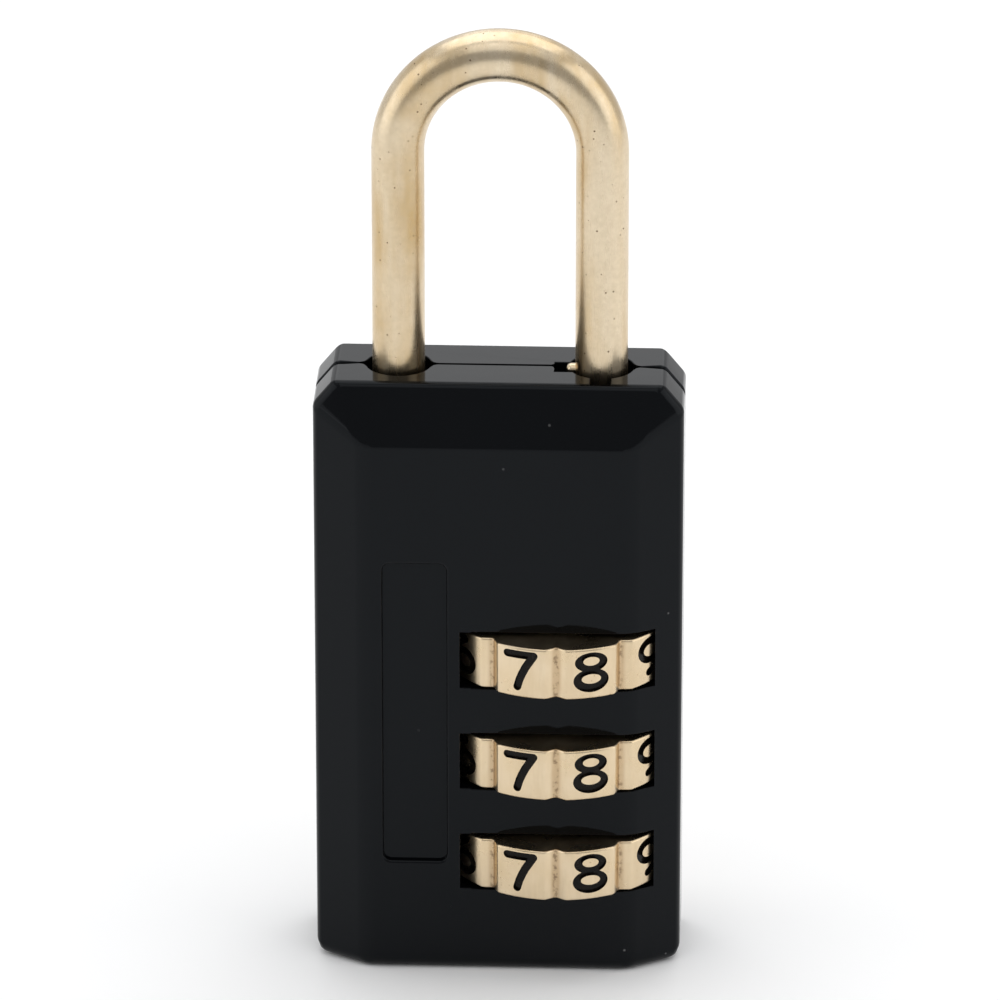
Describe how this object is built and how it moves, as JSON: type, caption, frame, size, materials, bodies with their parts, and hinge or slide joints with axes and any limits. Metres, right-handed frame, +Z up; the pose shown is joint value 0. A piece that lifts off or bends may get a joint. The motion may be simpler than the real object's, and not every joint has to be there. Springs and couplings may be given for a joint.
{
  "type": "luggage combination padlock",
  "caption": "Small luggage padlock with a sprung round-wire shackle, a two-shell bevelled case and number dials on a side axis that show on both faces.",
  "frame": {"origin": "centre of the underside, midway between the side walls and between the two faces", "axes": "+Z up along the shackle legs, -Y out of the front face with the label recess, +X towards the dials' side wall"},
  "size_m": [0.0208, 0.0128, 0.0554],
  "materials": {
    "case_black": "gloss black",
    "shackle_brass": "pale champagne, lightly scratched",
    "dial_brass": "satin, pale",
    "inner_brass": "turned",
    "spring_steel": "bright wire and strip",
    "sleeve_resin": "moulded resin"
  },
  "bodies": {
    "case": {"front_shell": "case_black", "back_shell": "case_black", "case_pin_lower_left": "spring_steel", "case_pin_lower_right": "spring_steel", "case_pin_upper_left": "spring_steel", "case_pin_upper_right": "spring_steel", "detent_spring_lower": "spring_steel", "detent_spring_middle": "spring_steel", "detent_spring_upper": "spring_steel", "stack_washer_1": "spring_steel", "stack_washer_2": "spring_steel", "stack_washer_3": "spring_steel", "stack_washer_4": "spring_steel", "spring_seat": "inner_brass", "reset_spring": "spring_steel", "lift_spring": "spring_steel"},
    "shackle": {"shackle": "shackle_brass", "shackle_key_pin": "shackle_brass", "spindle": "inner_brass"},
    "dial_lower": {"dial_lower": "dial_brass", "clutch_sleeve_lower": "sleeve_resin"},
    "dial_middle": {"dial_middle": "dial_brass", "clutch_sleeve_middle": "sleeve_resin"},
    "dial_upper": {"dial_upper": "dial_brass", "clutch_sleeve_upper": "sleeve_resin"}
  },
  "joints": [
    {"name": "shackle_lift", "type": "slide", "parent": "case", "child": "shackle", "axis": [0, 0, 1], "range_m": [0, 0.00625], "deforming": ["lift_spring"]},
    {"name": "dial_lower_spin", "type": "hinge", "parent": "case", "child": "dial_lower", "pos_m": [0.00337, 0, 0.00688], "axis": [0, 0, 1], "continuous": true},
    {"name": "dial_middle_spin", "type": "hinge", "parent": "case", "child": "dial_middle", "pos_m": [0.00337, 0, 0.01312], "axis": [0, 0, 1], "continuous": true},
    {"name": "dial_upper_spin", "type": "hinge", "parent": "case", "child": "dial_upper", "pos_m": [0.00337, 0, 0.01937], "axis": [0, 0, 1], "continuous": true}
  ]
}
